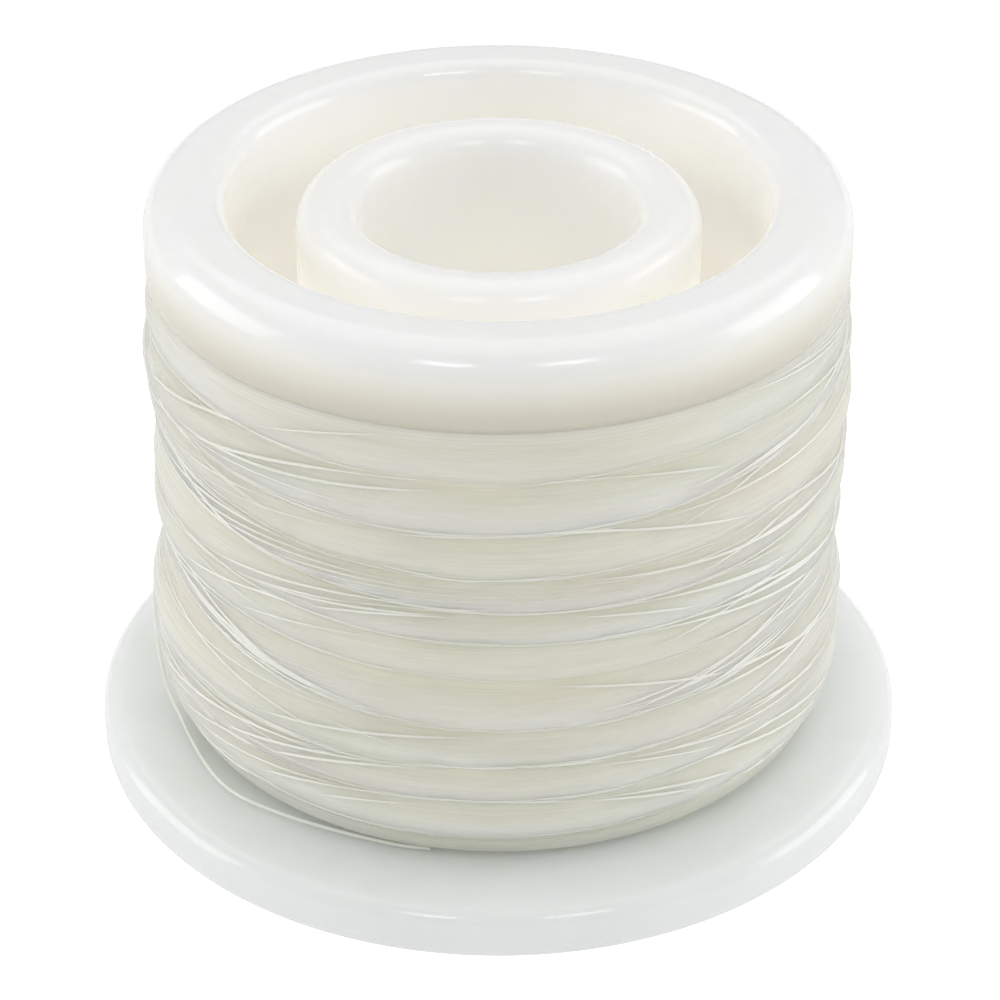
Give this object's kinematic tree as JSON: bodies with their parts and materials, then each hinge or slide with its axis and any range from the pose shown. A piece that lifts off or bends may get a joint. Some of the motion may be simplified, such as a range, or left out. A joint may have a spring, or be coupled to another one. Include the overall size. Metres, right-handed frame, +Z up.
{
  "type": "fishing line spool",
  "caption": "Small double-walled plastic spool with a wide base flange, a thick rounded upper flange and a spindle bore, wound full of clear monofilament fishing line.",
  "frame": {"origin": "on the bore axis, in the plane of the lower flange's underside, which the spool stands on", "axes": "+Z up along the bore axis, from the wide flange to the narrow one; -Y towards the viewer; +X to the right"},
  "size_m": [0.04, 0.04, 0.0303],
  "materials": {
    "lower_plastic": "semi-matte natural polyethylene, faintly bluish",
    "upper_plastic": "semi-matte natural polyethylene, milky",
    "line": "clear nylon monofilament, greyish where it lies in depth"
  },
  "bodies": {
    "root": {"lower_flange": "lower_plastic", "hub_tube": "lower_plastic", "drum_ribs": "lower_plastic", "barrel": "upper_plastic", "upper_flange": "upper_plastic", "wound_line": "line", "loose_turn": "line", "anchor_knot": "line", "free_end": "line"}
  },
  "joints": []
}
